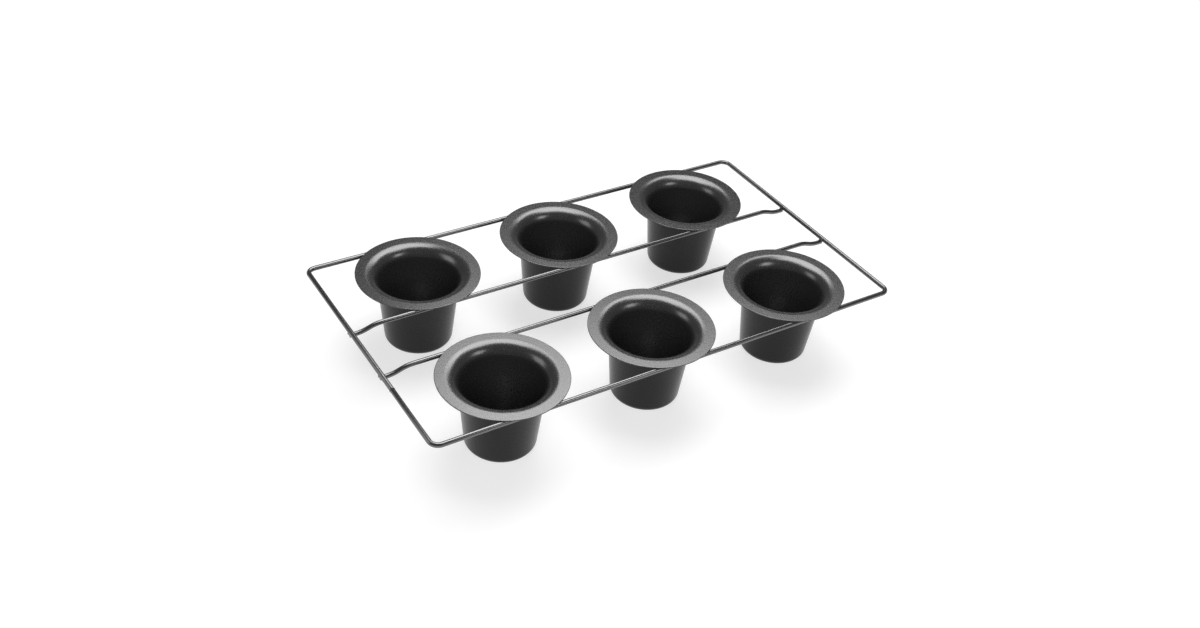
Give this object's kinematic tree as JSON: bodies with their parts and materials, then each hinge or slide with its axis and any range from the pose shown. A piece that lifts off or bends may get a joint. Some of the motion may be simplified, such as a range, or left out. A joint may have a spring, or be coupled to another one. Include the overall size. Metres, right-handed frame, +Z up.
{
  "type": "popover pan",
  "caption": "Deep tapered cups with wide flat brims, welded into a flat rack of bent wire, for baking popovers and small puddings with hot air all round each cup.",
  "frame": {"origin": "middle of the pan on the plane of the cups' flat bases, where it stands", "axes": "+X along the pan's length, parallel to the long wires, +Y across it, +Z up out of the cups"},
  "size_m": [0.4003, 0.232, 0.0618],
  "materials": {
    "coated_cup": "drawn steel sheet with a sprayed, baked, dark grey satin non-stick coating",
    "coated_wire": "round steel wire under the same dark coating, a little glossier",
    "coated_weld": "resistance weld metal under the same dark coating"
  },
  "bodies": {
    "root": {"outer_frame": "coated_wire", "inner_wire_front": "coated_wire", "inner_wire_back": "coated_wire", "cup_front_left": "coated_cup", "cup_front_middle": "coated_cup", "cup_front_right": "coated_cup", "cup_back_left": "coated_cup", "cup_back_middle": "coated_cup", "cup_back_right": "coated_cup", "frame_butt_weld": "coated_weld", "crossing_weld_front_left": "coated_weld", "crossing_weld_front_right": "coated_weld", "crossing_weld_back_left": "coated_weld", "crossing_weld_back_right": "coated_weld", "cup_welds_front_left": "coated_weld", "cup_welds_front_middle": "coated_weld", "cup_welds_front_right": "coated_weld", "cup_welds_back_left": "coated_weld", "cup_welds_back_middle": "coated_weld", "cup_welds_back_right": "coated_weld"}
  },
  "joints": []
}
